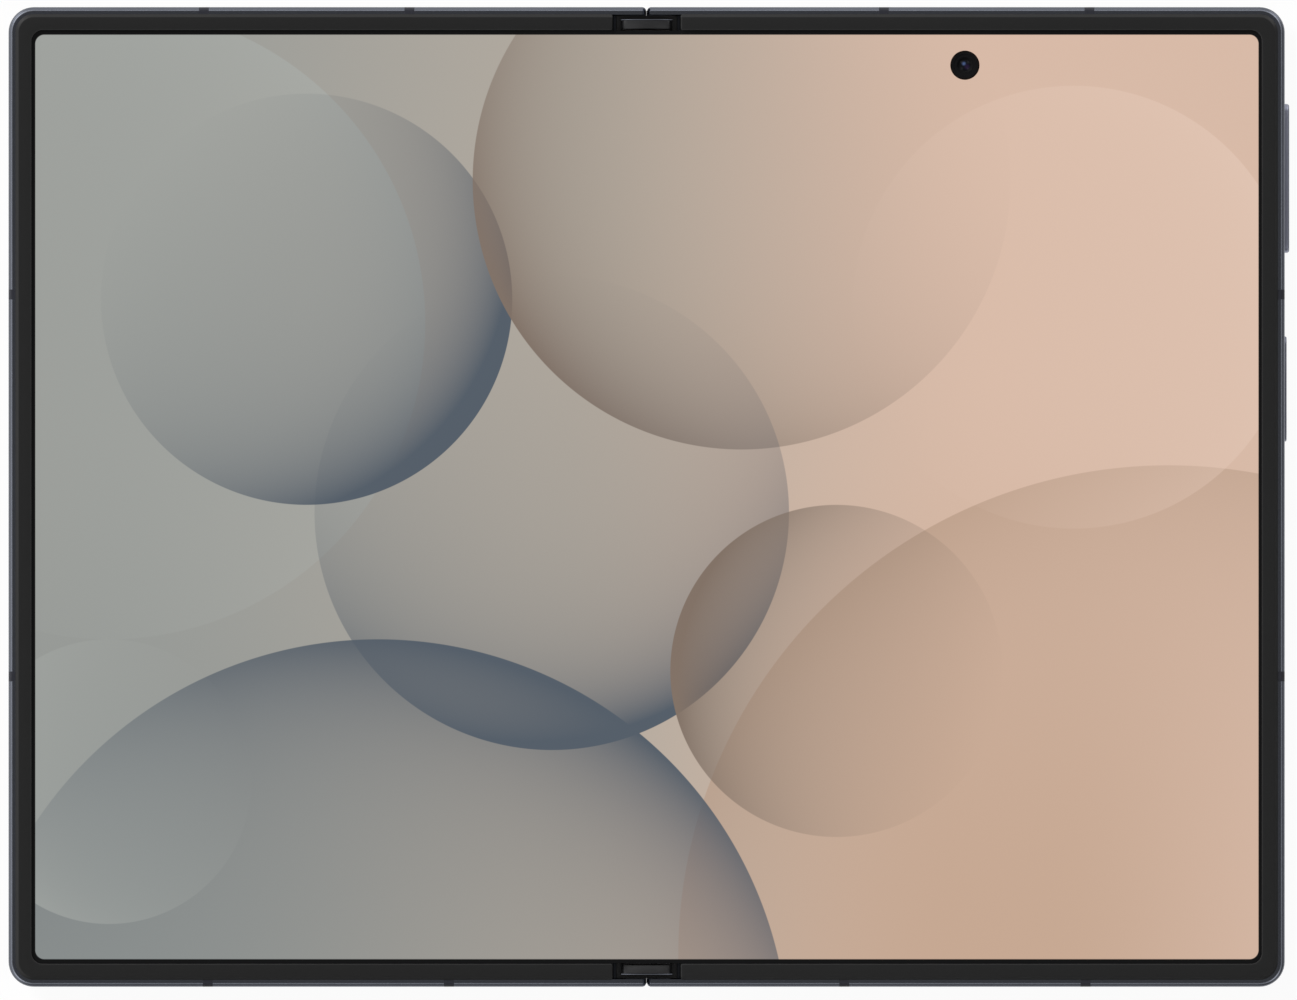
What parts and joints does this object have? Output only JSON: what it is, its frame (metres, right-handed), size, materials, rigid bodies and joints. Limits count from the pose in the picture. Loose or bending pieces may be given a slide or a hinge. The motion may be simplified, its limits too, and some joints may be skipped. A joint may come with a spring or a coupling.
{
  "type": "foldable smartphone",
  "caption": "Book-style foldable phone opened flat, with a geared two-axis hinge, inner folding screen, cover screen, rear cameras, keys and SIM tray.",
  "frame": {"origin": "middle of the hinge line, at the height of the camera rings' rims, which is the lowest point of the phone lying on its back", "axes": "+X towards the keys, +Y towards the top edge along the hinge line, +Z out of the inner screen"},
  "size_m": [0.162, 0.1238, 0.0067],
  "materials": {
    "frame_metal": "satin anodised, dark navy",
    "hinge_metal": "satin",
    "spine_metal": "satin anodised, dark navy",
    "bezel_plastic": "matte",
    "band_plastic": "matte",
    "cap_plastic": "satin",
    "display": "screen on, showing a plain design",
    "back_glass": "frosted dark glass, opaque",
    "cover_glass": "glossy black, screen off",
    "lens_glass": "glossy, nearly black",
    "lens_metal": "polished edge",
    "camera_black": "matte",
    "flash_lens": "diffusing",
    "board": "solder mask",
    "shield_metal": "tinned sheet",
    "battery_foil": "foil pouch",
    "coil_copper": "enamelled winding",
    "magnet": "nickel plated",
    "flex_film": "polyimide film"
  },
  "bodies": {
    "spine": {"spine_cover": "spine_metal", "spine_end_caps": "cap_plastic", "hinge_brackets": "hinge_metal", "bracket_screws": "hinge_metal", "display_support_bar": "hinge_metal", "display_fold": "display", "hinge_flex_cable": "flex_film"},
    "right_half": {"right_frame": "frame_metal", "right_bezel": "bezel_plastic", "right_antenna_bands": "band_plastic", "display_right": "display", "rotator_right": "hinge_metal", "rotator_screws_right": "hinge_metal", "right_back_glass": "back_glass", "camera_island": "frame_metal", "camera_lens_rings": "lens_metal", "camera_lens_glass": "lens_glass", "rear_camera_modules": "camera_black", "flash_led": "flash_lens", "inner_camera": "camera_black", "main_board": "board", "board_shields": "shield_metal", "battery_right": "battery_foil", "charging_coil": "coil_copper", "usb_port": "shield_metal", "loudspeaker": "camera_black", "vibration_motor": "shield_metal", "key_switches": "flex_film", "board_screws_right": "hinge_metal", "closing_magnets_right": "magnet"},
    "left_half": {"left_frame": "frame_metal", "left_bezel": "bezel_plastic", "left_antenna_bands": "band_plastic", "display_left": "display", "rotator_left": "hinge_metal", "rotator_screws_left": "hinge_metal", "cover_glass": "cover_glass", "cover_display_panel": "camera_black", "cover_camera": "camera_black", "battery_left": "battery_foil", "sub_board": "board", "board_screws_left": "hinge_metal", "earpiece_speaker": "camera_black", "sim_reader": "shield_metal", "closing_magnets_left": "magnet"},
    "volume_rocker": {"volume_rocker": "frame_metal"},
    "side_key": {"side_key": "frame_metal"},
    "sim_tray": {"sim_tray": "frame_metal"},
    "wing_right": {"wing_plate_right": "hinge_metal"},
    "wing_left": {"wing_plate_left": "hinge_metal"},
    "pinion_right": {"pinion_right": "hinge_metal", "friction_washers_right": "hinge_metal"},
    "pinion_left": {"pinion_left": "hinge_metal", "friction_washers_left": "hinge_metal"},
    "idler_right": {"idler_gear_right": "hinge_metal"},
    "idler_left": {"idler_gear_left": "hinge_metal"}
  },
  "joints": [
    {"name": "fold_right", "type": "hinge", "parent": "spine", "child": "right_half", "pos_m": [0.00145, 0, 0.0053], "axis": [0, -1, 0], "range_deg": [0, 90], "deforming": ["display_fold", "hinge_flex_cable"]},
    {"name": "fold_left", "type": "hinge", "parent": "spine", "child": "left_half", "pos_m": [-0.00145, 0, 0.0053], "axis": [0, 1, 0], "range_deg": [0, 90]},
    {"name": "pinion_right_turn", "type": "hinge", "parent": "spine", "child": "pinion_right", "pos_m": [0.00251, 0, 0.00455], "axis": [0, -1, 0], "range_deg": [0, 240.01]},
    {"name": "pinion_left_turn", "type": "hinge", "parent": "spine", "child": "pinion_left", "pos_m": [-0.00251, 0, 0.00455], "axis": [0, 1, 0], "range_deg": [0, 240.01]},
    {"name": "idler_right_turn", "type": "hinge", "parent": "spine", "child": "idler_right", "pos_m": [0.00091, 0, 0.00402], "axis": [0, -1, 0], "range_deg": [-205.73, 0]},
    {"name": "idler_left_turn", "type": "hinge", "parent": "spine", "child": "idler_left", "pos_m": [-0.00091, 0, 0.00402], "axis": [0, 1, 0], "range_deg": [-205.73, 0]},
    {"name": "wing_right_tilt", "type": "hinge", "parent": "right_half", "child": "wing_right", "pos_m": [0.007, 0, 0.00538], "axis": [0, -1, 0], "range_deg": [0, 6.01]},
    {"name": "wing_left_tilt", "type": "hinge", "parent": "left_half", "child": "wing_left", "pos_m": [-0.007, 0, 0.00538], "axis": [0, 1, 0], "range_deg": [0, 6.01]},
    {"name": "volume_rock", "type": "hinge", "parent": "right_half", "child": "volume_rocker", "pos_m": [0.0792, 0.0403, 0.00415], "axis": [0, 0, 1], "range_deg": [-1.2, 1.2], "stiffness_Nm_per_rad": 0.02},
    {"name": "side_key_press", "type": "slide", "parent": "right_half", "child": "side_key", "axis": [-1, 0, 0], "range_m": [0, 0.0002], "stiffness_N_per_m": 6000},
    {"name": "sim_tray_out", "type": "slide", "parent": "left_half", "child": "sim_tray", "axis": [0, -1, 0], "range_m": [0, 0.0175]}
  ],
  "couplings": [
    {"joint": "fold_left", "follows": "fold_right", "ratio": 1},
    {"joint": "pinion_right_turn", "follows": "fold_right", "ratio": 2.6667},
    {"joint": "pinion_left_turn", "follows": "fold_right", "ratio": 2.6667},
    {"joint": "idler_right_turn", "follows": "fold_right", "ratio": -2.2857},
    {"joint": "idler_left_turn", "follows": "fold_right", "ratio": -2.2857},
    {"joint": "wing_right_tilt", "follows": "fold_right", "ratio": 0.066667},
    {"joint": "wing_left_tilt", "follows": "fold_right", "ratio": 0.066667}
  ]
}
